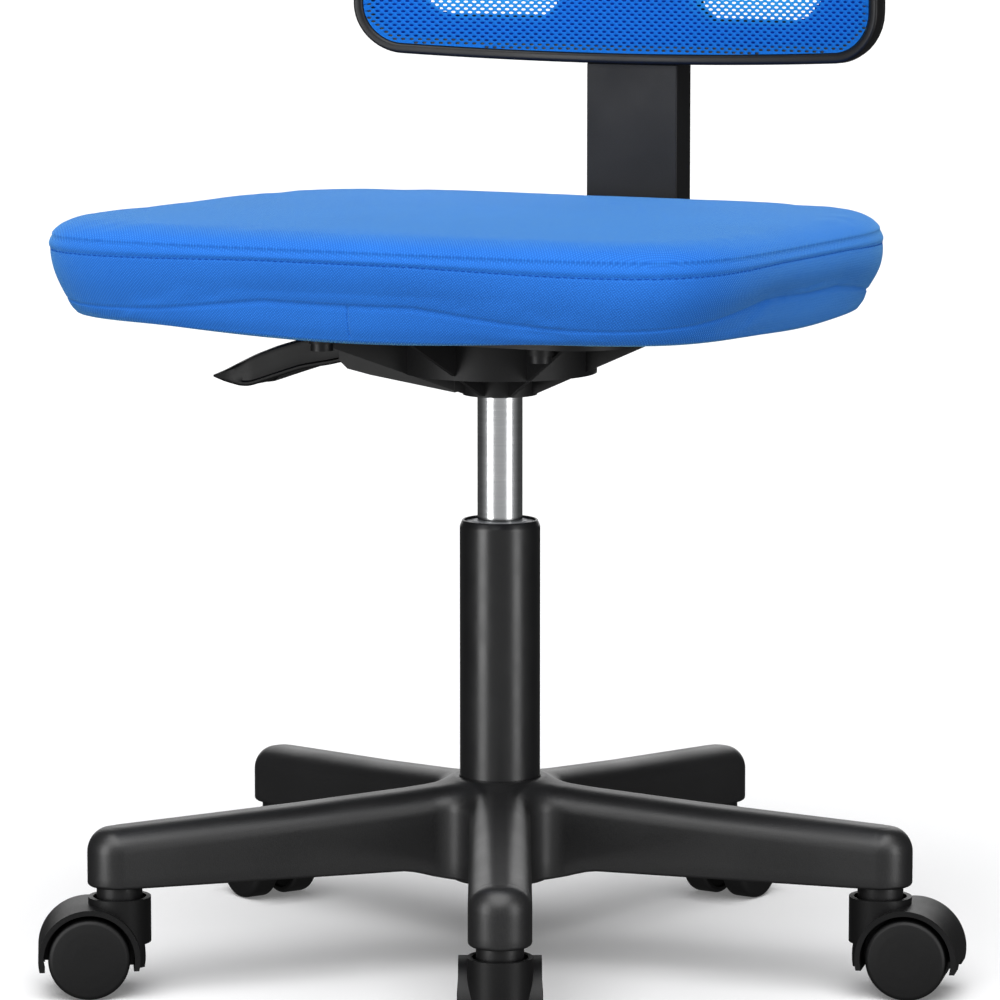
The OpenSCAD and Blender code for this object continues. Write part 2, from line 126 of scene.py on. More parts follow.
def add_mesh(name, points, faces, smooth=True):
    """A mesh object at the origin with those points, in metres, and faces."""
    data = bpy.data.meshes.new(name)
    data.from_pydata(np.asarray(points, float).tolist(), [], [tuple(map(int, f)) for f in faces])
    data.update()
    data.polygons.foreach_set("use_smooth", [smooth] * len(data.polygons))
    obj = bpy.data.objects.new(name, data)
    bpy.context.scene.collection.objects.link(obj)
    return obj


class Finish:
    """A material on one Principled shader, with short ways to wire the patterns that drive it."""

    def __init__(self, name, colour, roughness, metallic=0.0, **sockets):
        self.material = bpy.data.materials.new(name)
        self.material.use_nodes = True
        self.nodes = self.material.node_tree.nodes
        self.shader = self.nodes["Principled BSDF"]
        self.set("Base Color", (*colour, 1.0))
        self.set("Roughness", roughness)
        self.set("Metallic", metallic)
        for socket, value in sockets.items():
            self.set(socket.replace("_", " "), value)

    def set(self, socket, value):
        """Sets one of the shader's own sockets."""
        self.shader.inputs[socket].default_value = value

    def node(self, kind, inputs=(), **settings):
        """A shader node with those settings, its inputs set to values or joined to other nodes' outputs."""
        made = self.nodes.new("ShaderNode" + kind)
        for key, value in settings.items():
            setattr(made, key, value)
        for key, value in dict(inputs).items():
            if isinstance(value, bpy.types.NodeSocket):
                self.material.node_tree.links.new(value, made.inputs[key])
            else:
                made.inputs[key].default_value = value
        return made

    def link(self, output, socket):
        """Drives one of the shader's sockets from a node's output."""
        self.material.node_tree.links.new(output, self.shader.inputs[socket])

    def place(self, kind="Object"):
        """Object coordinates, or the piece's own UV map."""
        return self.node("TexCoord").outputs[kind]

    def noise(self, vector, scale, detail=3.0, rough=0.5):
        """Fractal noise with about scale lumps to the metre."""
        return self.node("TexNoise", {"Vector": vector, "Scale": scale, "Detail": detail,
                                      "Roughness": rough}).outputs["Fac"]

    def ramp(self, value, low, high, out_low, out_high):
        """value from low..high carried to out_low..out_high, clamped."""
        return self.node("MapRange", {"Value": value, "From Min": low, "From Max": high,
                                      "To Min": out_low, "To Max": out_high}).outputs["Result"]

    def mix(self, factor, first, second):
        """Colour between first and second."""
        made = self.node("Mix", data_type="RGBA")
        for key, value in ((0, factor), (6, first), (7, second)):
            if isinstance(value, bpy.types.NodeSocket):
                self.material.node_tree.links.new(value, made.inputs[key])
            else:
                made.inputs[key].default_value = value if key == 0 else (*value, 1.0)
        return made.outputs[2]

    def bump(self, height, depth, strength=1.0):
        """A bump of that depth in metres from a 0..1 height."""
        inputs = {"Height": height, "Distance": depth, "Strength": strength}
        return self.node("Bump", inputs).outputs["Normal"]


def studio_floor():
    """Floor disc, wide enough to fill the view to the horizon, that throws no light up at the chair."""
    turns = np.linspace(0, 2 * np.pi, 64, endpoint=False)
    ring = np.c_[60 * np.cos(turns), 60 * np.sin(turns), np.full(64, -0.0002)]
    floor = add_mesh("floor", ring, [list(range(64))])
    paint = Finish("floor_paint", (0.86, 0.86, 0.865), 0.9)
    paint.link(paint.mix(paint.noise(paint.place(), 1.5), (0.85, 0.85, 0.855), (0.87, 0.87, 0.875)),
               "Base Color")
    paint.set("Specular IOR Level", 0.1)
    paint.set("Emission Color", (1.0, 1.0, 1.0, 1.0))
    paint.set("Emission Strength", 0.15)
    floor.data.materials.append(paint.material)
    floor.visible_diffuse = False
    floor.visible_glossy = False
    floor.visible_shadow = False
    unlit = bpy.data.collections.new("unlit_by_softboxes")
    unlit.objects.link(floor)
    unlit.collection_objects[0].light_linking.link_state = "EXCLUDE"
    for lamp in (softbox_left, softbox_right, backdrop):
        lamp.light_linking.receiver_collection = unlit


studio_floor()

# ---- Seat cushion ----
# A slab of polyurethane foam on a plywood pan, in a sewn cover of woven blue polyester. The cover is a
# top panel, topstitched to a boxing strip, and a lower band that is pulled under the pan and stapled.

seat_low, seat_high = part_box("seat_cover")
seat_mid_y = (seat_low.y + seat_high.y) / 2
seat_half_w = (seat_high.x - seat_low.x) / 2 - 2 * MM
seat_half_d = (seat_high.y - seat_low.y) / 2 - 1 * MM
hem_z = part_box("seat_pan")[0].z - 0.5 * MM
edge_z = seat_low.z + 0.3 * MM
fold_z = seat_high.z - 17 * MM
roll_high = 11.5 * MM
roll_wide = 20 * MM
crown = 3.9 * MM
stitch_drop = 5.6 * MM
hem_band = -0.3
SEAT_COLUMNS = 720


def seat_outline(turn, inset):
    """Superellipse of exponent 5.4 at the front and 4.2 at the back, drawn in by inset, narrower behind."""
    c, s = np.cos(turn), np.sin(turn)
    power = 2 / np.where(s < 0, 5.4, 4.2)
    x = (seat_half_w - inset) * np.sign(c) * np.abs(c) ** power
    y = (seat_half_d - inset) * np.sign(s) * np.abs(s) ** power
    return x * (1 - 0.025 * y / seat_half_d), y + seat_mid_y


def edge_lift(turn):
    """How far the lower edge rises above its height at the middle of the front, by the corner and the side.

    It is 7.8 mm at a corner, less a dip that is deepest half-way along each side.
    """
    x, y = seat_outline(turn, 0.0)
    u, v = np.clip(x / seat_half_w, -1, 1), np.clip((y - seat_mid_y) / seat_half_d, -1, 1)
    ends = np.where(v < 0, 7.8, 4.0) * (1 - u ** 2) ** 2.5
    return (7.8 - ends - 4.0 * (1 - v ** 2) ** 4) * MM


def even_turns(count, crowd_at):
    """Turns that step evenly round the outline's length, but closer together near the front's point crowd_at.

    Also gives each turn's length along the outline from the middle of the front. The outline is sampled
    more closely, as a cube, beside each axis, where a superellipse moves fastest with its turn.
    """
    half = np.pi / 4 * np.linspace(0, 1, 1500) ** 3
    quarter = np.r_[half, np.pi / 2 - half[-2:0:-1]]
    dense = np.r_[np.concatenate([quarter + k * np.pi / 2 for k in range(-2, 2)]), np.pi]
    x, y = seat_outline(dense, 0.0)
    plain = np.r_[0, np.cumsum(np.hypot(np.diff(x), np.diff(y)))]
    plain = plain - np.interp(-np.pi / 2, dense, plain)
    middle = (plain[1:] + plain[:-1]) / 2
    length = np.r_[0, np.cumsum(np.diff(plain) * (1 + 3 * np.exp(-((middle - crowd_at) / (6 * MM)) ** 2)))]
    turns = np.interp(np.linspace(0, length[-1], count, endpoint=False), length, dense)
    return turns, np.interp(turns, dense, plain), plain[-1] - plain[0]


def cushion_rows():
    """Heights, insets and band numbers of the cover's rows, from the hem under the pan to the crown.

    The side leans in downwards by the power 1.5 of its drop. The top rolls over the fold as a quarter
    ellipse of how far the row has come in, and then rises to the crown as a parabola.
    """
    hem = np.linspace(60, 27, 7) * MM
    bend = np.linspace(0, np.pi / 2, 7)[1:]
    side = np.r_[np.linspace(0.03, 0.97, 46), 1.0]
    top = np.r_[np.linspace(0.03, 0.36, 20), np.linspace(0.39, 0.97, 26)]
    lean = 12.6 * MM
    over = 0.3 * MM + (seat_half_d - 1 * MM) * top ** 2
    roll = roll_high * np.sqrt(1 - np.maximum(1 - over / roll_wide, 0) ** 2)
    z = np.r_[np.full(len(hem), hem_z), hem_z + (edge_z - hem_z) * (1 - np.cos(bend)),
              edge_z + (fold_z - edge_z) * side, fold_z + roll + crown * (1 - (1 - over / seat_half_d) ** 2)]
    inset = np.r_[hem, hem[-1] + (lean - hem[-1]) * np.sin(bend), lean * (1 - side) ** 1.5, over]
    band = np.r_[np.full(len(hem), hem_band), hem_band * np.cos(bend), side, 1 + top]
    return z, inset, band


def grid_faces(rows, columns):
    """Quads of a grid that closes round its columns, seen from outside when rows run upwards."""
    r, c = np.meshgrid(np.arange(rows - 1), np.arange(columns), indexing="ij")
    n = (c + 1) % columns
    return np.stack([r * columns + c, r * columns + n, (r + 1) * columns + n, (r + 1) * columns + c],
                    -1).reshape(-1, 4)


def grid_normals(p):
    """Unit normals of a grid of points, rows by columns, closed round its columns."""
    along = np.roll(p, -1, 1) - np.roll(p, 1, 1)
    up = np.gradient(p, axis=0)
    n = np.cross(along, up)
    return n / np.maximum(np.linalg.norm(n, axis=-1, keepdims=True), 1e-12)


def evaluated_mesh(obj):
    """The mesh of obj with its modifiers worked in."""
    graph = bpy.context.evaluated_depsgraph_get()
    return bpy.data.meshes.new_from_object(obj.evaluated_get(graph), depsgraph=graph)


def coordinates(mesh):
    """The mesh's points as an array of x, y and z."""
    p = np.empty(len(mesh.vertices) * 3)
    mesh.vertices.foreach_get("co", p)
    return p.reshape(-1, 3)


def blown_up(points, columns, cap):
    """The closed cushion as cloth under pressure, with no point moved further than cap.

    It is remeshed and then blown up for 20 frames, with its flat underside held.
    """
    faces = [list(range(columns))[::-1]] + grid_faces(len(points) // columns, columns).tolist()
    faces.append(list(range(len(points) - columns, len(points))))
    start = add_mesh("cushion_start", points, faces)
    voxels = start.modifiers.new("voxels", "REMESH")
    voxels.mode = "VOXEL"
    voxels.voxel_size = 5 * MM
    blank = evaluated_mesh(start)
    cloth_body = bpy.data.objects.new("cushion_cloth", blank)
    bpy.context.scene.collection.objects.link(cloth_body)
    before = coordinates(blank)
    held = cloth_body.vertex_groups.new(name="held")
    held.add(np.flatnonzero(before[:, 2] < hem_z + 1.5 * MM).tolist(), 1.0, "REPLACE")
    cloth = cloth_body.modifiers.new("cloth", "CLOTH")
    cloth.settings.vertex_group_mass = "held"
    cloth.settings.use_pressure = True
    cloth.settings.uniform_pressure_force = 4.0
    cloth.settings.effector_weights.gravity = 0.0
    frames = 20
    cloth.point_cache.frame_end = frames
    for number in range(1, frames + 1):
        bpy.context.scene.frame_set(number)
    after = coordinates(evaluated_mesh(cloth_body))
    bpy.context.scene.frame_set(1)
    move = after - before
    far = np.linalg.norm(move, axis=1, keepdims=True)
    after = before + move * np.minimum(1, cap / np.maximum(far, 1e-9))
    cloth_body.modifiers.clear()
    blank.vertices.foreach_set("co", after.ravel())
    blank.update()
    bpy.data.objects.remove(start)
    return cloth_body


def wrapped(points, faces, target):
    """points moved along their normals onto the target's surface."""
    probe = add_mesh("probe", points, faces)
    wrap = probe.modifiers.new("wrap", "SHRINKWRAP")
    wrap.target = target
    wrap.wrap_method = "PROJECT"
    wrap.project_limit = 14 * MM
    wrap.use_negative_direction = True
    wrap.use_positive_direction = True
    moved = coordinates(evaluated_mesh(probe))
    bpy.data.objects.remove(probe)
    return moved


def set_uv(obj, uv):
    """Stores a UV for every corner, in metres of cloth."""
    layer = obj.data.uv_layers.new(name="cloth")
    layer.data.foreach_set("uv", np.asarray(uv, float).ravel())


seam_run = 7 * MM
low_seam = 0.27
wave_high = 8.8 * MM
seat_turns, seat_run, seat_girth = even_turns(SEAT_COLUMNS, seam_run)
row_z, row_inset, row_band = cushion_rows()
seam_wave = wave_high * np.clip(np.cos(8 * np.pi * seat_run / seat_girth) + 0.35, -1, 1)
seam_shift = np.clip(np.minimum(row_band / low_seam, (1 - row_band) / (1 - low_seam)), 0, 1)
lifted = np.clip(np.minimum(1 - 1.1 * row_band, 1 - row_band / hem_band), 0, 1)
sx, sy = seat_outline(seat_turns[None, :], row_inset[:, None])
sz = row_z[:, None] + seam_shift[:, None] * seam_wave + lifted[:, None] * edge_lift(seat_turns)
seat_points = np.stack([sx, sy, sz], -1)
seat_shape = seat_points.shape
seat_quads = grid_faces(*seat_shape[:2])
free = (row_band > 0)[:, None, None] * 1.0
slack = seat_points - 2.5 * MM * free * grid_normals(seat_points)
puffed = blown_up(slack.reshape(-1, 3), SEAT_COLUMNS, 3.2 * MM)
fitted = wrapped(seat_points.reshape(-1, 3), seat_quads, puffed).reshape(seat_shape)
bpy.data.objects.remove(puffed)
normals = grid_normals(seat_points)
creases = ((fitted - seat_points) * normals).sum(-1)
creases = 0.9 * MM * np.tanh((creases - np.median(creases)) / (2.5 * MM))
share = np.clip(row_band / 0.1, 0, 1)[:, None] * np.clip((1.97 - row_band) / 0.3, 0, 1)[:, None]
seat_points = seat_points + (share * creases)[..., None] * normals

band = row_band[:, None]
stitch_band = 1 - stitch_drop / (fold_z - edge_z)


def ridge(centre, width, height):
    """A bell-shaped ridge round the cushion at one band, or a groove where its height in mm is below 0."""
    return height * MM * np.exp(-((band - centre) / width) ** 2)


# Seams: a fine groove at the lower seam, over which the boxing strip swells most at the right side, a
# turned edge between the fold and the topstitching, and one short upright seam in the lower band.
lower = np.clip(band / low_seam, 0, 1)
upper = np.clip((band - low_seam) / (1 - low_seam), 0, 1)
pucker = 1 + 0.5 * np.sin(seat_run * 2 * np.pi / (13 * MM)) * np.sin(seat_run * 2 * np.pi / (171 * MM))
swell = 1.4 + 1.6 * np.clip(np.cos(seat_turns), 0, 1)
relief = ridge(low_seam, 0.013, -1.3) + ridge(stitch_band, 0.014, -0.6 * pucker)
relief = relief + ridge((1 + stitch_band) / 2, 0.035, 0.7) + ridge(1.03, 0.02, -0.8)
relief = relief + swell * MM * np.sin(np.pi * upper) ** 1.2 * (upper < 1)
relief = relief + 0.6 * MM * np.sin(np.pi * lower) * (band > 0)
beside = (seat_run - seam_run)[None, :]
relief = relief - 0.9 * MM * np.exp(-(beside / (0.9 * MM)) ** 2) * (band > 0.05) * (band < low_seam)
seat_points = seat_points + relief[..., None] * grid_normals(seat_points)

top_ring = np.arange(SEAT_COLUMNS) + (seat_shape[0] - 1) * SEAT_COLUMNS
middle = seat_points[-1].mean(0) + np.array([0, 0, 0.2 * MM])
middle_index = np.full(SEAT_COLUMNS, seat_points.size // 3)
seat_faces = seat_quads.tolist() + np.c_[top_ring, np.roll(top_ring, -1), middle_index].tolist()
cushion = add_mesh("seat_cushion", np.vstack([seat_points.reshape(-1, 3), middle]), seat_faces)


def cushion_uv():
    """Cloth coordinates: round the outline and up on the side, straight down onto the cloth on the top."""
    p = coordinates(cushion.data)
    corner = np.empty(len(cushion.data.loops), int)
    cushion.data.loops.foreach_get("vertex_index", corner)
    row = np.minimum(corner // SEAT_COLUMNS, seat_shape[0])
    run = seat_run[corner % SEAT_COLUMNS]
    face = np.repeat(np.arange(len(cushion.data.polygons)), [len(q.vertices) for q in cushion.data.polygons])
    first = np.r_[0, np.cumsum(np.bincount(face))[:-1]]
    start = run[first][face]
    run = np.where(run - start < -seat_girth / 2, run + seat_girth, run)
    on_top = (corner[first][face] // SEAT_COLUMNS) >= np.searchsorted(row_band, 1.0)
    return np.where(on_top[:, None], p[corner][:, :2], np.c_[run, p[corner][:, 2]])


set_uv(cushion, cushion_uv())


def woven_cloth(name, deep, bright, pitch, depth):
    """Twill weave: two families of slanting ribs, broken by every thread's own shade, with soft sheen."""
    cloth = Finish(name, bright, 0.82, Sheen_Weight=0.42, Sheen_Roughness=0.36)
    cloth.set("Sheen Tint", (0.4, 0.9, 0.9, 1.0))
    cloth.set("Specular IOR Level", 0.15)
    uv = cloth.place("UV")
    ribs = []
    for angle in (52, -38):
        turned = cloth.node("Mapping", {"Vector": uv, "Rotation": (0, 0, math.radians(angle))}).outputs[0]
        wave = cloth.node("TexWave", {"Vector": turned, "Scale": 0.314 / pitch, "Distortion": 1.2,
                                      "Detail": 1.0, "Detail Scale": 2.0}, wave_profile="SIN")
        ribs.append(wave.outputs["Fac"])
    rib = cloth.node("Math", {0: ribs[0], 1: ribs[1]}, operation="MULTIPLY").outputs[0]
    fuzz = cloth.noise(uv, 2600, 2.0)
    patch = cloth.noise(uv, 9, 3.0)
    height = cloth.node("Math", {0: rib, 1: fuzz}, operation="ADD").outputs[0]
    shade = cloth.mix(cloth.ramp(height, 0.3, 1.3, 0, 1), deep, bright)
    cloth.link(cloth.mix(cloth.ramp(patch, 0.35, 0.65, 0.0, 0.12), shade, tuple(1.15 * c for c in bright)),
               "Base Color")
    cloth.link(cloth.ramp(fuzz, 0.3, 0.7, 0.74, 0.9), "Roughness")
    cloth.link(cloth.bump(height, depth), "Normal")
    return cloth.material


seat_cloth = woven_cloth("seat_cloth", (0.008, 0.088, 0.41), (0.024, 0.18, 0.64), 1.35 * MM, 0.2 * MM)
cushion.data.materials.append(seat_cloth)
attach(cushion, "seat")
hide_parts("seat_cover", "seat_foam")


def stitches(row, spacing, length, thickness):
    """Thread loops along one row of the cushion, each a bead, round across and drawn out along the seam."""
    line = seat_points[row]
    normal = grid_normals(seat_points)[row]
    along = np.roll(line, -1, 0) - line
    run = np.r_[0, np.cumsum(np.linalg.norm(along, axis=1))]
    at = np.arange(0, run[-1], spacing)

    def take(a):
        """Rows of a, at each stitch's place along the seam."""
        return np.stack([np.interp(at, run, np.r_[a[:, k], a[0, k]]) for k in range(3)], -1)

    centre, out = take(line), take(normal)
    way = take(along / np.linalg.norm(along, axis=1, keepdims=True))
    side = np.cross(out, way)
    ring = np.linspace(0, 2 * np.pi, 8, endpoint=False)
    lap = np.linspace(-1, 1, 5)
    girth = np.sqrt(np.maximum(1 - lap ** 2, 0.03))
    bead = (way[:, None, None] * (lap * length / 2)[None, :, None, None]
            + out[:, None, None] * (girth[:, None] * np.cos(ring) * thickness / 2)[None, :, :, None]
            + side[:, None, None] * (girth[:, None] * np.sin(ring) * thickness / 2)[None, :, :, None])
    p = centre[:, None, None] + out[:, None, None] * 0.1 * MM + bead
    one = grid_faces(5, 8).tolist() + [list(range(8))[::-1], list(range(32, 40))]
    faces = [[i + 40 * k for i in f] for k in range(len(at)) for f in one]
    return p.reshape(-1, 3), faces


stitch_row = int(np.argmin(np.abs(row_band - stitch_band)))
thread = add_mesh("seat_topstitch", *stitches(stitch_row, 4.3 * MM, 3.1 * MM, 0.75 * MM))
strand = Finish("polyester_thread", (0.004, 0.06, 0.34), 0.7, Specular_IOR_Level=0.1)
strand.link(strand.mix(strand.noise(strand.place(), 900), (0.003, 0.045, 0.28), (0.006, 0.08, 0.42)),
            "Base Color")
thread.data.materials.append(strand.material)
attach(thread, "seat")

# ---- Gas column ----
# A welded steel outer tube in satin black powder coat, a nylon guide bush pressed into its mouth, and
# the gas cylinder, turned and hard chromed, that slides in the bush and wedges into the seat plate.


def rounded(corners, radius, steps=4, closed=False):
    """A polyline with each corner turned into a quadratic curve that starts radius away from it."""
    p = np.asarray(corners, float)
    out = []
    for k in range(len(p)):
        if not closed and k in (0, len(p) - 1):
            out.append(p[k:k + 1])
            continue
        before, after = p[k - 1] - p[k], p[(k + 1) % len(p)] - p[k]
        far = [min(radius, 0.45 * np.linalg.norm(v)) / np.linalg.norm(v) for v in (before, after)]
        t = np.linspace(0, 1, steps + 1)[:, None]
        out.append((1 - t) ** 2 * (p[k] + before * far[0]) + 2 * t * (1 - t) * p[k]
                   + t ** 2 * (p[k] + after * far[1]))
    return np.vstack(out)


def turned(profile, segments=96, closed=True):
    """A profile of radius and height turned round +Z. A closed profile makes a ring-shaped solid."""
    rz = np.asarray(profile, float)
    turn = np.linspace(0, 2 * np.pi, segments, endpoint=False)
    p = np.stack([rz[:, :1] * np.cos(turn), rz[:, :1] * np.sin(turn), rz[:, 1:] + 0 * turn], -1)
    faces = grid_faces(len(rz), segments)
    if closed:
        c = np.arange(segments)
        n = (c + 1) % segments
        last = (len(rz) - 1) * segments
        faces = np.vstack([faces, np.stack([last + c, last + n, n, c], -1)])
    return p.reshape(-1, 3), faces


def tidied(obj, gap=0.01 * MM):
    """Merges doubled points and turns every face outwards."""
    b = bmesh.new()
    b.from_mesh(obj.data)
    bmesh.ops.remove_doubles(b, verts=b.verts, dist=gap)
    bmesh.ops.dissolve_degenerate(b, edges=b.edges, dist=gap / 10)
    bmesh.ops.recalc_face_normals(b, faces=b.faces)
    b.to_mesh(obj.data)
    b.free()
    return obj


def fitted_piece(obj, material, body, slot, *replaced):
    """Gives a piece its material and body, and hides the CAD nodes that it stands for; slot is not used."""
    obj.data.materials.append(material)
    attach(obj, body)
    if replaced:
        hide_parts(*replaced)
    return obj


def powder_coat():
    """Satin black paint with the faint orange peel of a sprayed powder."""
    paint = Finish("satin_powder_coat", (0.006, 0.0061, 0.0066), 0.32)
    spot = paint.place()
    paint.link(paint.ramp(paint.noise(spot, 60, 4), 0.3, 0.7, 0.28, 0.36), "Roughness")
    paint.link(paint.bump(paint.noise(spot, 700, 2), 0.02 * MM, 0.5), "Normal")
    return paint.material


def satin_chrome():
    """Hard chrome over ground steel: bright, with very fine marks that run round the cylinder."""
    metal = Finish("satin_chrome", (0.60, 0.61, 0.62), 0.2, 1.0, Anisotropic=0.5)
    rings = metal.node("Mapping", {"Vector": metal.place(), "Scale": (30, 30, 4000)}).outputs[0]
    grind = metal.noise(rings, 1.0, 2)
    metal.link(metal.mix(grind, (0.50, 0.51, 0.52), (0.66, 0.67, 0.68)), "Base Color")
    metal.link(metal.ramp(grind, 0.3, 0.7, 0.16, 0.27), "Roughness")
    return metal.material


tube_low, tube_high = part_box("column_outer_tube")
tube_r = tube_high.x
bush_low, bush_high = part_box("column_guide_bush")
gas_low, gas_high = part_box("gas_cylinder")
gas_r = gas_high.x
tube_hole_r = 5.1 * MM
gas_hole_r = 5.06 * MM
valve_r = 3.1 * MM
tube_profile = [(tube_hole_r, tube_low.z), (tube_r - 2 * MM, tube_low.z), (tube_r, tube_low.z + 8 * MM),
                (tube_r, tube_high.z - 4 * MM), (tube_r - 1.6 * MM, tube_high.z),
                (bush_high.x, tube_high.z), (bush_high.x, tube_low.z + 6 * MM),
                (tube_hole_r, tube_low.z + 6 * MM)]
tube = add_mesh("outer_tube", *turned(rounded(tube_profile, 0.7 * MM, closed=True), 128))
fitted_piece(tidied(tube), powder_coat(), "base", "tube_paint", "column_outer_tube")

bush_r = gas_r + 0.06 * MM
bush_profile = [(bush_r, bush_low.z), (bush_high.x, bush_low.z), (bush_high.x, bush_high.z),
                (bush_r + 3.2 * MM, bush_high.z), (bush_r + 2.4 * MM, bush_high.z + 1 * MM),
                (bush_r, bush_high.z + 1 * MM)]
bush = add_mesh("guide_bush", *turned(rounded(bush_profile, 0.4 * MM, closed=True), 96))
nylon = Finish("natural_nylon", (0.42, 0.43, 0.45), 0.42)
nylon.link(nylon.mix(nylon.noise(nylon.place(), 180), (0.38, 0.39, 0.41), (0.46, 0.47, 0.49)), "Base Color")
fitted_piece(tidied(bush), nylon.material, "base", "bush_nylon", "column_guide_bush")

wedge_z = gas_high.z - 26 * MM
gas_profile = [(gas_hole_r, gas_low.z), (gas_r, gas_low.z), (gas_r, wedge_z), (gas_r - 0.6 * MM, gas_high.z),
               (valve_r, gas_high.z), (valve_r, gas_high.z - 12 * MM),
               (gas_r - 2 * MM, gas_high.z - 12 * MM), (gas_r - 2 * MM, gas_low.z + 16 * MM),
               (gas_hole_r, gas_low.z + 16 * MM)]
cylinder = add_mesh("chromed_cylinder", *turned(rounded(gas_profile, 0.5 * MM, closed=True), 128))
fitted_piece(tidied(cylinder), satin_chrome(), "seat", "cylinder_chrome", "gas_cylinder")

# ---- Star base ----
# One injection moulding in glass-filled nylon: five hollow legs, open below, that run out of a hub.
# Each leg has a round-shouldered top and ends in an upright half-round nose over its caster.

base_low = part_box("star_base")[0]
leg_half = 18.7 * MM
nose_x = 264 * MM - leg_half
valley_fillet = 17 * MM
shoulder_r = 15.5 * MM
shoulder_drop = 14.5 * MM
leg_count = 5
first_leg = math.radians(10)
half_sector = math.pi / leg_count
leg_angles = [first_leg + 2 * half_sector * k for k in range(leg_count)]
leg_under = 67 * MM
foot_r = 2.2 * MM
caster_reach = 244.5 * MM
eye_r = tube_r + 0.15 * MM


def crest(reach):
    """Height of the base's top at a distance from the column: a collar at the tube, then a falling ridge."""
    return np.interp(reach, np.array([25, 29, 33, 40, 60, 130, 264]) * MM,
                     np.array([120.8, 120.8, 119.2, 117.6, 115.6, 110.4, 102.2]) * MM)


def fallen(distance, radius, drop):
    """Drop of a quarter ellipse at that distance in from its edge: the whole drop at 0, none past radius."""
    short = np.clip(1 - distance / radius, 0, 1)
    return drop * (1 - np.sqrt(1 - short ** 2))


def half_leg():
    """Outer points, inner points and a nose flag for the columns of half a leg, from nose to valley.

    Outer points follow the nose's circle, the straight side and the fillet to the valley between two
    legs. Inner points are the nose's centre, then the ridge, then the eye round the tube.
    """
    c = (leg_half + valley_fillet) / math.sin(half_sector)
    fillet = np.array([c * math.cos(half_sector), c * math.sin(half_sector)])
    a = np.linspace(0, np.pi / 2, 25)
    nose = np.c_[nose_x + leg_half * np.cos(a), leg_half * np.sin(a)]
    x = np.r_[np.linspace(nose_x - 1 * MM, nose_x - 12 * MM, 12),
              np.linspace(nose_x - 16 * MM, fillet[0], 30)]
    side = np.c_[x, np.full(len(x), leg_half)]
    b = np.linspace(0, np.pi / 2 - half_sector, 15)[1:]
    bend = fillet + valley_fillet * np.c_[-np.sin(b), -np.cos(b)]
    ridge = fillet[0] - eye_r
    way = b / b[-1] * (ridge + eye_r * half_sector)
    round_eye = np.maximum(way - ridge, 0) / eye_r
    on_ridge = np.maximum(fillet[0] - way, eye_r)
    inner_bend = np.c_[on_ridge * np.cos(round_eye), on_ridge * np.sin(round_eye)]
    outer = np.vstack([nose, side, bend])
    inner = np.vstack([nose * 0 + [nose_x, 0], np.c_[x, np.zeros(len(x))], inner_bend])
    return outer, inner, np.arange(len(outer)) < len(nose)


def spun(p, angle):
    """Points turned about +Z by angle."""
    c, s = math.cos(angle), math.sin(angle)
    return p @ np.array([[c, s, 0], [-s, c, 0], [0, 0, 1]])


def base_shell():
    """The skin of the base: rows climb the wall, roll over its shoulder and run in to the inner points.

    The top drops from the crest by the larger of two quarter ellipses, one measured from the leg's sides
    and one from its nose, so the two meet in an arched edge over each leg's end.
    """
    outer, inner, nose = half_leg()
    mirror = np.array([1, -1])
    outer = np.vstack([outer[:0:-1] * mirror, outer[:-1]])
    inner = np.vstack([inner[:0:-1] * mirror, inner[:-1]])
    nose = np.r_[nose[:0:-1], nose[:-1]]
    span = np.linalg.norm(inner - outer, axis=1)
    reach = np.linalg.norm(outer, axis=1)
    dip = np.clip((72 * MM - reach) / (34 * MM), 0, 1)
    foot = leg_under - 7 * MM * dip ** 2 * (3 - 2 * dip)
    rows = []
    for a in np.linspace(0, np.pi / 2, 5):
        tuck = foot_r * (1 - np.sin(a))
        edge = outer + (inner - outer) * (tuck / span)[:, None]
        rows.append(np.c_[edge, foot + foot_r * (1 - np.cos(a))])
    brim = crest(reach) - shoulder_drop
    for t in (0.25, 0.5, 0.75):
        rows.append(np.c_[outer, foot + foot_r + (brim - foot - foot_r) * t])
    roll = shoulder_r * (1 - np.cos(np.linspace(0, np.pi / 2, 17)))
    shares = [far / span for far in roll]
    shares += [shoulder_r / span + (1 - shoulder_r / span) * k / 6 for k in range(1, 7)]
    for share in shares:
        spot = outer + (inner - outer) * share[:, None]
        inward = share * span
        across = fallen(np.where(nose, leg_half - np.abs(spot[:, 1]), inward), shoulder_r, shoulder_drop)
        ahead = fallen(np.where(nose, inward, 1.0), 13.5 * MM, shoulder_drop)
        drop = (across + ahead + np.sqrt((across - ahead) ** 2 + (0.5 * MM) ** 2 * (ahead > 0))) / 2
        rows.append(np.c_[spot, crest(np.linalg.norm(spot, axis=1)) - np.minimum(drop, shoulder_drop)])
    p = np.concatenate([spun(np.array(rows), angle) for angle in leg_angles], 1)
    return p.reshape(-1, 3), grid_faces(*p.shape[:2])


def moulded_nylon(name, tone, rough, grain, gloss=0.5):
    """Black nylon out of a spark-eroded mould: a fine even grain that breaks up the gloss."""
    skin = Finish(name, tone, rough[0], Specular_IOR_Level=gloss)
    spot = skin.place()
    fine = skin.noise(spot, 1500, 2.0, 0.6)
    cloud = skin.noise(spot, 22, 3.0)
    skin.link(skin.mix(skin.ramp(fine, 0.35, 0.65, 0, 1), tuple(0.7 * c for c in tone),
                       tuple(1.35 * c for c in tone)), "Base Color")
    skin.link(skin.ramp(skin.node("Math", {0: fine, 1: cloud}, operation="ADD").outputs[0], 0.7, 1.3, *rough),
              "Roughness")
    skin.link(skin.bump(fine, grain * MM, 0.8), "Normal")
    return skin.material


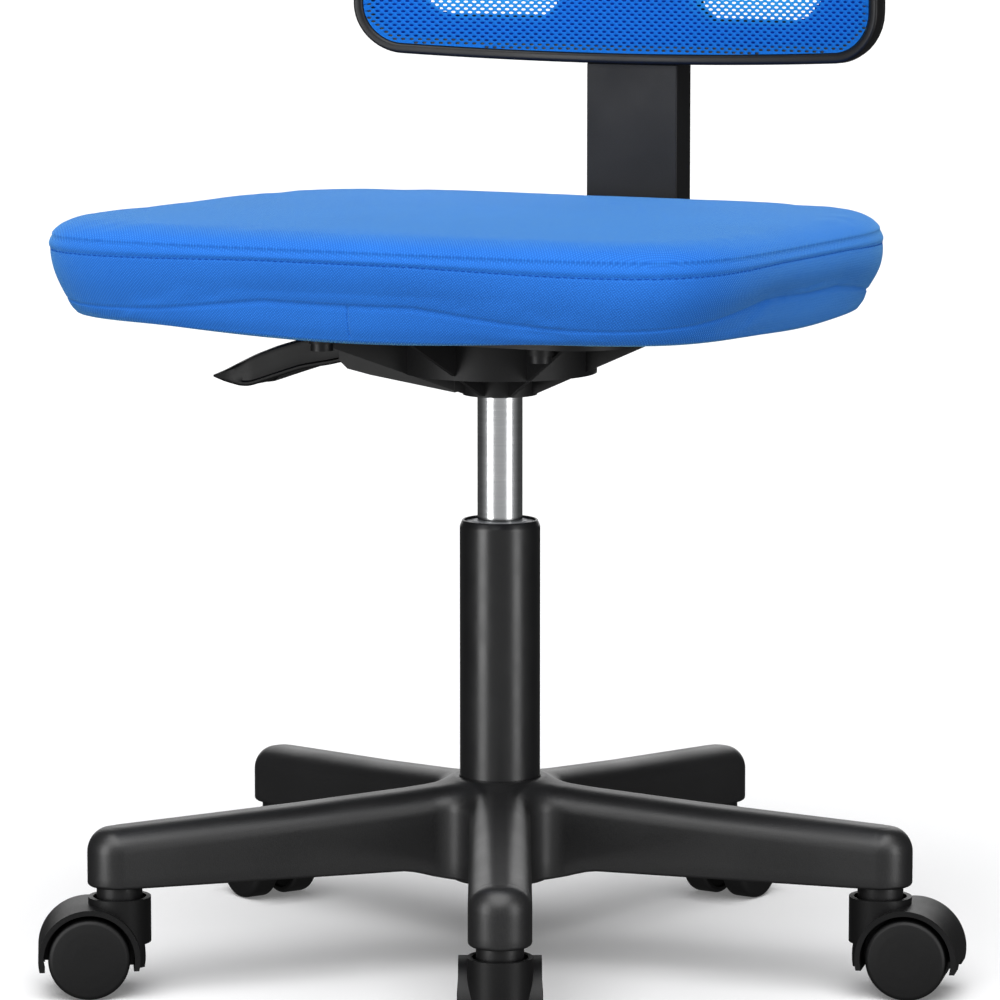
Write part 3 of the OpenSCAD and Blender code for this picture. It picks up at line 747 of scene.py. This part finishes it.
base_nylon = moulded_nylon("base_nylon", (0.007, 0.007, 0.0074), (0.34, 0.46), 0.09)
shell = tidied(add_mesh("star_base_shell", *base_shell()))
wall = shell.modifiers.new("wall", "SOLIDIFY")
wall.thickness = 3.0 * MM
wall.offset = -1
fitted_piece(shell, base_nylon, "base", "base_nylon", "star_base")


def joined(parts):
    """Several point and face lists as one."""
    points, faces, count = [], [], 0
    for p, f in parts:
        points.append(p)
        faces += [[int(i) + count for i in q] for q in f]
        count += len(p)
    return np.vstack(points), faces


def brick(low, high):
    """Points and faces of a block between two corners."""
    u = np.array([[x, y, z] for z in (0, 1) for y in (0, 1) for x in (0, 1)], float)
    p = np.asarray(low) + u * (np.asarray(high) - np.asarray(low))
    return p, np.array([[0, 2, 3, 1], [4, 5, 7, 6], [0, 1, 5, 4], [1, 3, 7, 5], [3, 2, 6, 7], [2, 0, 4, 6]])


def base_inside():
    """The hub's tube and, in each leg, six cross ribs, one long rib and the caster's socket."""
    hub = [(tube_r + 0.1 * MM, base_low.z), (30 * MM, base_low.z), (32 * MM, base_low.z + 8 * MM),
           (32 * MM, 112 * MM), (tube_r + 0.1 * MM, 116 * MM)]
    parts = [turned(rounded(hub, 0.8 * MM, closed=True), 96)]
    socket = [(5.5 * MM, leg_under + 0.4 * MM), (10.5 * MM, leg_under + 0.4 * MM), (11 * MM, 96 * MM),
              (5.5 * MM, 96 * MM)]
    leg = []
    for x in np.array([76, 108, 140, 172, 204, 226]) * MM:
        leg.append(brick((x, -16 * MM, leg_under + 7 * MM), (x + 2 * MM, 16 * MM, crest(x) - 10 * MM)))
    leg.append(brick((32 * MM, -1.1 * MM, leg_under + 3 * MM), (235 * MM, 1.1 * MM, 97 * MM)))
    socket_points, socket_faces = turned(rounded(socket, 0.5 * MM, closed=True), 48)
    leg.append((socket_points + np.array([caster_reach, 0, 0]), socket_faces))
    for angle in leg_angles:
        parts += [(spun(p, angle), f) for p, f in leg]
    return joined(parts)


inside = tidied(add_mesh("star_base_ribs", *base_inside(), smooth=False))
fitted_piece(inside, base_nylon, "base", "base_nylon")

# ---- Casters ----
# Twin-wheel furniture casters: a black plated stem with a collar, pushed into the end of a leg, a moulded
# nylon hood with a cup round that collar, and two nylon wheels with domed faces on a steel axle.

joints = {joint["name"]: joint for joint in frame["joints"]}


def round_edges(obj, width, angle, segments=2):
    """Rounds every edge that turns by more than angle degrees."""
    bevel = obj.modifiers.new("rounded_edges", "BEVEL")
    bevel.width = width
    bevel.segments = segments
    bevel.limit_method = "ANGLE"
    bevel.angle_limit = math.radians(angle)


def softened(name, node, width, angle=30, segments=2):
    """The CAD piece's own shape with doubled points merged, flat faces joined and edges rounded."""
    data = frame["nodes"][node].data
    corner = np.empty(len(data.loops), int)
    data.loops.foreach_get("vertex_index", corner)
    obj = tidied(add_mesh(name, coordinates(data), corner.reshape(-1, 3)), 0.002 * MM)
    b = bmesh.new()
    b.from_mesh(obj.data)
    bmesh.ops.dissolve_limit(b, angle_limit=math.radians(0.4), verts=b.verts, edges=b.edges)
    b.to_mesh(obj.data)
    b.free()
    round_edges(obj, width, angle, segments)
    normals = obj.modifiers.new("even_shading", "WEIGHTED_NORMAL")
    normals.keep_sharp = True
    return obj


def clouded(name, tone, scale, rough, metallic=0.0):
    """A plain finish whose roughness wanders between the two ends of rough."""
    finish = Finish(name, tone, sum(rough) / 2, metallic)
    finish.link(finish.ramp(finish.noise(finish.place(), scale), 0.3, 0.7, *rough), "Roughness")
    return finish.material


caster_nylon = moulded_nylon("caster_nylon", (0.0028, 0.0028, 0.003), (0.38, 0.52), 0.04, 0.25)
wheel_nylon = moulded_nylon("wheel_nylon", (0.003, 0.003, 0.0032), (0.42, 0.56), 0.03, 0.28)
black_zinc = clouded("black_zinc", (0.006, 0.006, 0.0065), 300, (0.38, 0.52), 0.3)
wheel_profile = [(0, 18.2), (3.06, 18.2), (3.06, 6.7), (9, 6.7), (9, 8.7), (21, 8.7), (21, 6.7), (23.6, 6.7),
                 (25, 8.1), (25, 20.9), (24.4, 22.7), (22.6, 23.9), (17, 24.6), (10, 25.1), (0, 25.3)]
stem_profile = [(0, 46), (4, 46), (4, 58), (14, 58), (14, 66.9), (5.5, 66.9), (5.5, 90), (0, 90)]
stem_points, stem_faces = turned(rounded(np.array(stem_profile) * MM, 0.6 * MM), 48, closed=False)
wheel_points, wheel_faces = turned(rounded(np.array(wheel_profile) * MM, 0.7 * MM), 80, closed=False)
for i in range(1, leg_count + 1):
    stem_foot = np.array(joints[f"caster_swivel_{i}"]["pos_m"]) * (1, 1, 0)
    stem = tidied(add_mesh(f"stem_{i}", stem_points + stem_foot, stem_faces))
    fitted_piece(stem, black_zinc, "base", "stem_steel", f"caster_stem_{i}")
    hood = softened(f"hood_{i}", f"caster_hood_{i}", 0.6 * MM, 32)
    fitted_piece(hood, caster_nylon, f"caster_{i}", "caster_nylon", f"caster_hood_{i}")
    for letter, word, side in (("l", "left", 1), ("r", "right", -1)):
        hinge = joints[f"wheel_spin_{letter}_{i}"]
        across = np.array(hinge["axis"])
        basis = np.array([[across[1], -across[0], 0], [0, 0, 1], across * side])
        wheel = add_mesh(f"{word}_wheel_{i}", wheel_points @ basis + np.array(hinge["pos_m"]), wheel_faces)
        tidied(wheel)
        fitted_piece(wheel, wheel_nylon, f"wheel_{letter}_{i}", "wheel_nylon", f"wheel_{word}_{i}")

# ---- Seat plate and lever ----
# A ribbed nylon plate bolted under the plywood pan, whose collar grips the gas cylinder, and a nylon
# height lever on a steel pin: an arched blade with a bead along its lower edge and a cut-off end.


def extruded(outline, y0, y1):
    """A solid between two upright faces at y0 and y1, from an outline of x and z."""
    xz = np.asarray(outline, float)
    n = len(xz)
    p = np.vstack([np.c_[xz[:, 0], np.full(n, y), xz[:, 1]] for y in (y0, y1)])
    k = np.arange(n)
    sides = np.stack([k, (k + 1) % n, (k + 1) % n + n, k + n], -1).tolist()
    return p, [list(range(n))[::-1], list(range(n, 2 * n))] + sides


def lever_blade(stations=72):
    """The blade as a loft along x: an open channel with dished sides, a bead below and a thin cut tip.

    All its measures are in mm. Its ridge and lower edge run through a few heights, smoothed twice.
    """
    x = np.linspace(-198.6, -58.4, stations)
    top = np.interp(x, (-199, -190, -179, -168, -154, -134, -115, -95, -58),
                    (363.4, 367.4, 372.9, 378.2, 383.6, 389.6, 392, 393.4, 395.4))
    low = np.interp(x, (-199, -190, -178, -171, -161, -152, -134, -112, -91, -58),
                    (362.0, 359.3, 357.1, 357.5, 360.9, 364, 369.9, 374.1, 379.3, 387))
    near = np.array([0.25, 0.5, 0.25])
    for _ in range(2):
        top[1:-1] = np.convolve(top, near, "valid")
        low[1:-1] = np.convolve(low, near, "valid")
    tall = top - low
    wide = np.interp(x, (-199, -190, -175, -58), (13.6, 14.4, 15, 15))
    dish = np.clip((x + 186) / 14, 0, 1) * np.clip((-62 - x) / 20, 0, 1)
    bead = np.minimum(3.0, tall * 0.3)
    open_up = np.clip((x + 168) / 16, 0, 1) * np.clip((-86 - x) / 8, 0, 1)
    roof = low + 0.4 + (tall - 3.4) * open_up * (tall > 4)
    inner = wide - 3.4
    half = [(wide - 0.5, low), (wide, low + 0.3 * bead), (wide, low + 0.8 * bead),
            (wide - 1.5 * dish, low + bead * 1.15), (wide - 1.7 * dish, low + 0.55 * tall),
            (wide - 1.2 * dish, top - 0.24 * tall), (wide - 1.4, top - 0.1 * tall),
            (wide - 3.6, top - 0.02 * tall), (wide * 0.5, top)]
    inside = [(inner, low + 0.1), (inner, roof * 0.5 + low * 0.5), (inner - 0.8, roof), (inner * 0.4, roof)]
    left = [np.stack([x, -w, z + 0 * x], -1) for w, z in half]
    right = [np.stack([x, w, z + 0 * x], -1) for w, z in half[::-1]]
    hollow = [np.stack([x, w, z + 0 * x], -1) for w, z in inside]
    back = [np.stack([x, -w, z + 0 * x], -1) for w, z in inside[::-1]]
    ring = np.stack(left + right + hollow + back, 1) * MM
    n = ring.shape[1]
    faces = grid_faces(stations, n).tolist()
    faces += [list(range(n))[::-1], list(range((stations - 1) * n, stations * n))]
    return ring.reshape(-1, 3), faces


plate_nylon = moulded_nylon("plate_nylon", (0.006, 0.006, 0.0064), (0.45, 0.6), 0.04, 0.35)
fitted_piece(softened("seat_plate", "underseat_plate", 0.6 * MM), plate_nylon, "seat", "plate_nylon",
             "underseat_plate")
lever_nylon = moulded_nylon("lever_nylon", (0.0016, 0.0018, 0.002), (0.34, 0.48), 0.02, 0.2)
arm_outline = np.array([(-70, 386), (-36, 391.4), (-24, 391.4), (-10, 393.3), (9, 393.3), (10, 399),
                        (-60, 397.2), (-70, 394.2)]) * MM
arm = extruded(arm_outline, -9 * MM, 9 * MM)
lever = tidied(add_mesh("height_lever_blade", *joined([lever_blade(), arm])))
round_edges(lever, 0.4 * MM, 40)
fitted_piece(lever, lever_nylon, "lever", "lever_nylon", "height_lever")

# ---- Back upright ----
# A flat steel strip, bolted under the plate and bent up behind the seat to carry the backrest. A satin
# black plastic cover, moulded in one piece, hides it.

bar_plastic = moulded_nylon("bar_plastic", (0.006, 0.006, 0.0062), (0.42, 0.55), 0.02, 0.3)
fitted_piece(softened("upright_cover", "back_bar_cover", 1.0 * MM, 30, 3), bar_plastic, "seat", "bar_plastic",
             "back_bar_cover")

# ---- Backrest ----
# A moulded plastic shell with two windows, a black frame clipped round it, a deep blue lining, and a
# knitted blue mesh with staggered oval holes, stretched over the frame's mouth by a sewn edge strip.

rim_low, rim_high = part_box("back_frame")
back_half_w = rim_high.x
back_half_h = (rim_high.z - rim_low.z) / 2
back_mid_z = (rim_high.z + rim_low.z) / 2
bend_r = 800 * MM
rim_depth = 12 * MM
bend_y = rim_high.y - rim_depth - bend_r


def back_outline(inset, count=400):
    """x and z of the backrest's edge, drawn in by inset: rounded corners, with edges that bow outwards."""
    a, b = back_half_w - inset, back_half_h - inset
    r = max(32 * MM - inset, 10 * MM)
    turn = np.linspace(0, 2 * np.pi, 8001)[:-1]
    quarter = (turn // (np.pi / 2)).astype(int)
    sx = np.where((quarter == 0) | (quarter == 3), 1, -1)
    sz = np.where(quarter < 2, 1, -1)
    arc = np.c_[sx * (a - r) + r * np.cos(turn), sz * (b - r) + r * np.sin(turn)]
    arc = np.vstack([arc, arc[:1]])
    run = np.r_[0, np.cumsum(np.linalg.norm(np.diff(arc, axis=0), axis=1))]
    at = np.linspace(0, run[-1], count, endpoint=False)
    x, z = np.interp(at, run, arc[:, 0]), np.interp(at, run, arc[:, 1])
    return x, z * (1 - 0.045 * (x / a) ** 2)


def bent_back(x, z, depth):
    """Points of the bent back at a depth behind the front of the frame, on circles round one upright line."""
    return np.stack([x, bend_y + np.sqrt((bend_r + depth) ** 2 - x ** 2), z + back_mid_z + 0 * x], -1)


back_plastic = moulded_nylon("back_plastic", (0.006, 0.006, 0.0064), (0.32, 0.45), 0.02, 0.3)
back_panel = softened("back_panel", "back_shell", 0.6 * MM)
fitted_piece(back_panel, back_plastic, "seat", "back_plastic", "back_shell")
section = rounded(np.array([(0, 0), (6.4, 0), (6.4, 11.9), (0, 11.9)]) * MM, 2.6 * MM, 6, closed=True)
rings = np.array([bent_back(*back_outline(inset), depth) for inset, depth in section])
rim = np.vstack([rings, rings[:1]])
rim_piece = tidied(add_mesh("back_rim", rim.reshape(-1, 3), grid_faces(*rim.shape[:2])))
fitted_piece(rim_piece, back_plastic, "seat", "back_plastic", "back_frame")


def cloth_material(name, deep, bright, glow, share):
    """Knitted polyester: a two-tone yarn with a soft sheen, that lets some light through."""
    yarn = Finish(name, deep, 0.7, Sheen_Weight=0.1, Sheen_Roughness=0.4, Specular_IOR_Level=0.15)
    spot = yarn.place()
    fibre = yarn.noise(spot, 1600, 3)
    yarn.link(yarn.mix(yarn.ramp(fibre, 0.3, 0.7, 0, 1), deep, bright), "Base Color")
    yarn.link(yarn.bump(fibre, 0.08 * MM, 0.7), "Normal")
    through = yarn.node("BsdfTranslucent", {"Color": (*glow, 1.0)})
    both = yarn.node("MixShader", {0: share, 1: yarn.shader.outputs[0], 2: through.outputs[0]})
    yarn.material.node_tree.links.new(both.outputs[0], yarn.nodes["Material Output"].inputs["Surface"])
    return yarn.material


def within(x, z, inset):
    """How far out a point lies, as a share of the way from the backrest's centre to its outline."""
    ox, oz = back_outline(inset, 2000)
    angle = np.arctan2(oz, ox)
    order = np.argsort(angle)
    reach = np.interp(np.arctan2(z, x), angle[order], np.hypot(ox, oz)[order], period=2 * np.pi)
    return np.hypot(x, z) / reach


def knitted_net(across=5.7 * MM, up=2.25 * MM, hole_w=1.55 * MM, hole_h=0.72 * MM, inset=6.6 * MM):
    """The mesh as bricks in staggered rows, each a ring of 12 quads between its edge and an oval hole.

    Edge points are shared between bricks. Those on the net's border are pulled out to the outline. Holes
    lie a little deeper than the strands between them. Returns points, faces and the flat cut's area.
    """
    row, col = np.meshgrid(np.arange(-60, 61), np.arange(-34, 35), indexing="ij")
    centre = np.c_[((col + 0.5 * (row % 2)) * across).ravel(), (row * up).ravel()]
    centre = centre[within(centre[:, 0], centre[:, 1], inset) < 0.995]
    edge = np.array([(4, 0), (4, 1), (2, 1), (0, 1), (-2, 1), (-4, 1), (-4, 0), (-4, -1), (-2, -1), (0, -1),
                     (2, -1), (4, -1)])
    turn = np.radians([0, 40, 66, 90, 114, 140, 180, 220, 246, 270, 294, 320])
    outer = centre[:, None] + edge * (across / 8, up / 2)
    key = np.round(outer / (across / 8, up / 2)).astype(int).reshape(-1, 2)
    _, first, back = np.unique(key, axis=0, return_index=True, return_inverse=True)
    back = back.reshape(len(centre), 12)
    strand = outer.reshape(-1, 2)[first]
    hole = centre[:, None] + np.c_[hole_w * np.cos(turn), hole_h * np.sin(turn)]
    rim_index = len(strand) + np.arange(len(centre) * 12).reshape(-1, 12)
    faces = np.stack([back, np.roll(back, -1, 1), np.roll(rim_index, -1, 1), rim_index], -1).reshape(-1, 4)
    pairs = np.sort(np.stack([back, np.roll(back, -1, 1)], -1).reshape(-1, 2), axis=1)
    edges, count = np.unique(pairs, axis=0, return_counts=True)
    border = np.unique(edges[count == 1])
    flat = np.vstack([strand, hole.reshape(-1, 2)])
    far = within(flat[:, 0], flat[:, 1], inset)
    pull = np.ones(len(flat))
    pull[border] = 1 / far[border]
    pull = np.where(far * pull > 0.999, 0.999 / far, pull)
    flat = flat * pull[:, None]
    q = flat[faces]
    d, e = q[:, 2] - q[:, 0], q[:, 3] - q[:, 1]
    area = float(np.abs(d[:, 0] * e[:, 1] - d[:, 1] * e[:, 0]).sum() / 2)
    depth = np.r_[np.full(len(strand), 1.15 * MM), np.full(len(flat) - len(strand), 1.55 * MM)]
    return bent_back(flat[:, 0], flat[:, 1], depth), faces, area


net_points, net_faces, net_area = knitted_net()
net = add_mesh("back_net", net_points, net_faces)
mesh_fabric = cloth_material("mesh_fabric", (0.003, 0.135, 0.64), (0.009, 0.23, 0.83),
                             (0.08, 0.68, 0.86), 0.4)
fitted_piece(net, mesh_fabric, "seat", "mesh_fabric", "back_mesh")


def window(x, z):
    """True inside either window: straight sides, small corners, and a wide one below on the outer side."""
    u = np.abs(x) - 98 * MM
    low, high = 586 * MM - back_mid_z, rim_high.z - 34 * MM - back_mid_z
    r = np.where((u > 0) & (z < (low + high) / 2), 32 * MM, 14 * MM)
    du = np.abs(u) - (48 * MM - r)
    middle, tall = (low + high) / 2, (high - low) / 2
    dv = np.abs(z - middle) - (tall - r)
    return np.hypot(np.maximum(du, 0), np.maximum(dv, 0)) + np.minimum(np.maximum(du, dv), 0) < r


def lining_sheet(step=1.5 * MM):
    """The lining as a grid inside the outline with the two windows left out. Also gives its flat area."""
    x, z = np.meshgrid(np.arange(-back_half_w, back_half_w, step), np.arange(-back_half_h, back_half_h, step))
    keep = (within(x, z, 7.6 * MM) < 1) & ~window(x, z)
    whole = keep[:-1, :-1] & keep[1:, :-1] & keep[:-1, 1:] & keep[1:, 1:]
    index = np.arange(x.size).reshape(x.shape)
    faces = np.stack([index[:-1, :-1], index[:-1, 1:], index[1:, 1:], index[1:, :-1]], -1)[whole]
    used = np.unique(faces)
    points = bent_back(x.ravel()[used], z.ravel()[used], 6.7 * MM)
    return points, np.searchsorted(used, faces), len(faces) * step ** 2


lining_points, lining_faces, lining_area = lining_sheet()
lining = add_mesh("back_lining_cloth", lining_points, lining_faces)
lining_fabric = cloth_material("lining_fabric", (0.003, 0.035, 0.30), (0.006, 0.06, 0.42),
                               (0.01, 0.1, 0.5), 0.1)
fitted_piece(lining, lining_fabric, "seat", "lining_fabric", "back_lining")

# ---- Hardware and hidden pieces ----
# Zinc plated bolts, nuts and bearing, the ground rod and pins, the rubber buffer, the birch plywood pan,
# the lacquered strip and the extruded edge strip keep their CAD shapes and take these finishes.


def finish_nodes(material, *nodes):
    """Gives shown CAD pieces a finish."""
    for node in nodes:
        data = frame["nodes"][node].data
        data.materials.clear()
        data.materials.append(material)


def metal_finish(name, tone, rough):
    """Metal with faint cloudy wear."""
    metal = Finish(name, tone, rough, 1.0)
    cloud = metal.noise(metal.place(), 120, 4)
    metal.link(metal.ramp(cloud, 0.3, 0.7, rough * 0.8, rough * 1.25), "Roughness")
    metal.link(metal.mix(cloud, tuple(0.9 * c for c in tone), tone), "Base Color")
    return metal.material


def birch_plywood():
    """Birch plywood: pale, with grain stretched along the seat's width and darker veneers on the edge."""
    wood = Finish("birch_plywood", (0.5, 0.36, 0.2), 0.65)
    along = wood.node("Mapping", {"Vector": wood.place(), "Scale": (6, 90, 900)}).outputs[0]
    grain = wood.noise(along, 1.0, 4)
    wood.link(wood.mix(grain, (0.42, 0.29, 0.15), (0.62, 0.47, 0.28)), "Base Color")
    return wood.material


finish_nodes(metal_finish("zinc_plate", (0.56, 0.55, 0.50), 0.32), "caster_sleeves", "thrust_bearing",
             "piston", "retaining_clip", "release_button", "tee_nuts", "back_screws")
finish_nodes(black_zinc, "plate_bolts", "back_bar_bolts")
finish_nodes(metal_finish("bright_steel", (0.58, 0.58, 0.59), 0.2), "piston_rod", "lever_pin",
             *[f"caster_axle_{i}" for i in range(1, leg_count + 1)])
rubber = Finish("buffer_rubber", (0.012, 0.012, 0.012), 0.8)
rubber.link(rubber.bump(rubber.noise(rubber.place(), 900), 0.05 * MM, 0.6), "Normal")
finish_nodes(rubber.material, "rubber_buffer")
finish_nodes(birch_plywood(), "seat_pan")
finish_nodes(clouded("black_lacquer", (0.012, 0.012, 0.012), 200, (0.26, 0.36)), "back_bar_strip")
finish_nodes(clouded("edge_strip", (0.012, 0.012, 0.013), 400, (0.5, 0.62)), "mesh_edge_strip")
